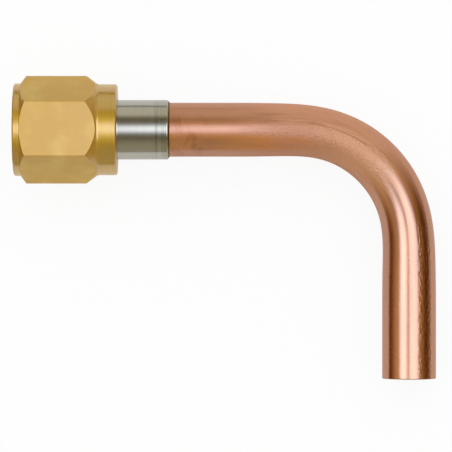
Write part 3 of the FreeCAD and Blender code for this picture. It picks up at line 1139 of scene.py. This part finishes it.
@dataclass
class Studio:
    """White table, soft light all round, and the camera square to the plane of the bend.

    Metal shows where the studio is bright and where it is dim. Its tones are given by direction, in degrees
    off the line from the fitting to the camera: one ring across the picture, from left to right, and one
    up it. Two softboxes hang over the table side by side, with a narrow gap between them for the camera.
    """

    floor_side: float = 0.16
    floor_shade: str = "#FAFAFA"
    shadow_seen: float = 0.09
    shadow_in_metal: float = 0.72
    sky: float = 0.95
    light_from_top: float = 0.45
    middle: tuple[float, float] = (50.09, -22.67)
    distance: float = 850.0
    view_width: float = 106.45
    least_off_axis: float = 1e-5
    lamp_colour: str = "#EAF0FF"
    lamps: tuple[Lamp, ...] = (
        Lamp(4.1, middle=(-27.0, 1.5), half_size=(20.0, 24.0), lit_within=0.3, dark_beyond=1.35),
        Lamp(3.5, middle=(17.0, 1.5), half_size=(18.5, 24.0), dark_beyond=1.3),
    )
    across: tuple[tuple[float, str], ...] = (
        (-94.0, "#6A3014"), (-84.0, "#764422"), (-74.0, "#B88C5C"), (-62.0, "#ECD09A"), (-50.0, "#E0C494"),
        (0.0, "#B8A47C"), (40.0, "#AA8C60"), (54.0, "#BC9858"), (66.0, "#845828"), (80.0, "#4A2810"),
        (86.0, "#4A3020"), (92.0, "#B09078"),
    )
    up: tuple[tuple[float, str], ...] = (
        (-97.0, "#2A2418"), (-94.5, "#BEB6A0"), (-60.0, "#B0A88E"), (-48.0, "#A09880"), (-38.0, "#7C7258"),
        (-20.0, "#7C7258"), (20.0, "#7C7258"), (42.0, "#786C52"), (50.0, "#B0A890"), (58.0, "#E8E2D0"),
        (98.5, "#EAE6DA"), (101.0, "#2A2418"),
    )

    def build_floor(self) -> Object:
        """Makes the table top: white paper, whose own light is mixed in to leave only a faint shadow.

        Returns:
            The floor.
        """
        half = self.floor_side / 2
        corners = [(-half, -half, 0), (half, -half, 0), (half, half, 0), (-half, half, 0)]
        mesh = bpy.data.meshes.new("floor")
        mesh.from_pydata(corners, [], [(0, 1, 2, 3)])
        material = bpy.data.materials.new("paper_white_matt")
        material.use_nodes = True
        tree = material.node_tree
        tree.nodes.clear()
        ray = add(tree, "ShaderNodeLightPath").outputs
        mirrored = add(tree, Maths.MAXIMUM, [ray["Is Glossy Ray"], ray["Is Transmission Ray"]])
        in_metal = add(tree, Maths.MULTIPLY, [mirrored, 1.0 - self.shadow_in_metal])
        in_picture = add(tree, Maths.MULTIPLY, [ray["Is Camera Ray"], 1.0 - self.shadow_seen])
        whitened = add(tree, Maths.MAXIMUM, [in_metal, in_picture])
        paper = add(tree, "ShaderNodeBsdfDiffuse", {"Color": linear(self.floor_shade)})
        white = add(tree, "ShaderNodeEmission", {"Color": WHITE, "Strength": 1.0})
        add(tree, "ShaderNodeOutputMaterial", [add(tree, "ShaderNodeMixShader", [whitened, paper, white])])
        mesh.materials.append(material)
        floor = bpy.data.objects.new("floor", mesh)
        bpy.context.scene.collection.objects.link(floor)
        return floor

    def build_walls(
        self, tree: NodeTree, right: object, top: object, sideways: object, upwards: object
    ) -> Node:
        """Adds the tones of the studio round the table.

        Args:
            tree: The world's tree.
            right: How far a direction points to the right.
            top: How far it points up the picture.
            sideways: Its angle across the picture, in degrees.
            upwards: Its angle up the picture, in degrees.

        Returns:
            The node with the tone for each direction.
        """
        rings = []
        for angle, tones in ((sideways, self.across), (upwards, self.up)):
            share = add(tree, Maths.MULTIPLY_ADD, [angle, 1 / FULL_TURN, 0.5])
            stops = [(0.5 + place / FULL_TURN, linear(colour)) for place, colour in tones]
            rings.append(add(tree, "ShaderNodeValToRGB", [share], stops))
        top_squared = add(tree, Maths.MULTIPLY, [top, top])
        both_squared = add(tree, Maths.MULTIPLY_ADD, [right, right, top_squared])
        off_axis = add(tree, Maths.MAXIMUM, [both_squared, self.least_off_axis])
        lean = add(tree, Maths.DIVIDE, [top_squared, off_axis])
        return add(tree, "ShaderNodeMix", [lean, *rings], data_type="RGBA")

    def build_lamp(self, tree: NodeTree, lamp: Lamp, sideways: object, upwards: object) -> Node:
        """Adds how brightly one lamp shines from each direction.

        Args:
            tree: The world's tree.
            lamp: The lamp.
            sideways: A direction's angle across the picture, in degrees.
            upwards: Its angle up the picture, in degrees.

        Returns:
            The node whose output is the lamp's level inside its edges and nought outside.
        """
        angles = add(tree, "ShaderNodeCombineXYZ", [sideways, upwards])
        off_middle = add(tree, Vectors.SUBTRACT, [angles, (*lamp.middle, 0.0)])
        shares = add(tree, Vectors.DIVIDE, [off_middle, (*lamp.half_size, 1.0)])
        reach = add(tree, Vectors.LENGTH, [shares])
        edges = [lamp.lit_within, lamp.dark_beyond]
        return add(tree, MAP_RANGE, [reach, *edges, lamp.level, 0.0], **SMOOTH)

    def build_light(self) -> World:
        """Makes the light: even white for the table and the background, the studio's tones for the metal.

        Returns:
            The world.
        """
        world = bpy.data.worlds.new("studio")
        world.use_nodes = True
        tree = world.node_tree
        tree.nodes.clear()
        towards = add(tree, "ShaderNodeTexCoord").outputs["Generated"]
        right, top, front = (add(tree, Vectors.DOT_PRODUCT, [towards, axis]) for axis in OWN_AXES)
        sideways, upwards = (
            add(tree, Maths.DEGREES, [add(tree, Maths.ARCTAN2, [part, front])])
            for part in (right, top)
        )
        glow = self.build_walls(tree, right, top, sideways, upwards)
        for lamp in self.lamps:
            level = self.build_lamp(tree, lamp, sideways, upwards)
            light = add(tree, Vectors.SCALE, [linear(self.lamp_colour)[:3], level])
            glow = add(tree, Vectors.MAXIMUM, [glow, light])
        in_metal = add(tree, "ShaderNodeBackground", {"Color": glow, "Strength": 1.0})

        ray = add(tree, "ShaderNodeLightPath").outputs
        lighting = add(tree, Maths.MULTIPLY_ADD, [top, self.light_from_top, self.sky])
        level = add(tree, "ShaderNodeMix", [ray["Is Camera Ray"], lighting, 1.0])
        on_table = add(tree, "ShaderNodeBackground", {"Color": WHITE, "Strength": level})
        chosen = add(tree, "ShaderNodeMixShader", [ray["Is Glossy Ray"], on_table, in_metal])
        add(tree, "ShaderNodeOutputWorld", [chosen])
        world.cycles.sampling_method = "NONE"
        bpy.context.scene.world = world
        return world

    def build_camera(self) -> Object:
        """Makes the camera, square to the plane of the bend.

        Returns:
            The camera.
        """
        lens = bpy.data.cameras.new("camera")
        lens.sensor_width = 36.0
        lens.lens = lens.sensor_width * self.distance / self.view_width
        camera = bpy.data.objects.new("camera", lens)
        moved = Matrix.Translation(OWN_TO_ROW @ Vector((*self.middle, self.distance)))
        camera.matrix_world = moved @ Matrix(OWN_AXES).transposed().to_4x4()
        bpy.context.scene.collection.objects.link(camera)
        bpy.context.scene.camera = camera
        return camera

    def build(self) -> None:
        """Makes the floor, the light and the camera, and sets how colours are shown."""
        self.build_floor()
        self.build_light()
        self.build_camera()
        bpy.context.scene.view_settings.view_transform = "Standard"


def main() -> None:
    """Builds the fitting and the studio around it."""
    logging.basicConfig(level=logging.INFO, format="%(name)s: %(message)s")
    UnionNut().build()
    nipple = Nipple()
    nipple.build_nipple()
    nipple.build_cone()
    nipple.build_braze()
    CopperTube().build()
    Studio().build()


if __name__ == "__main__":
    main()
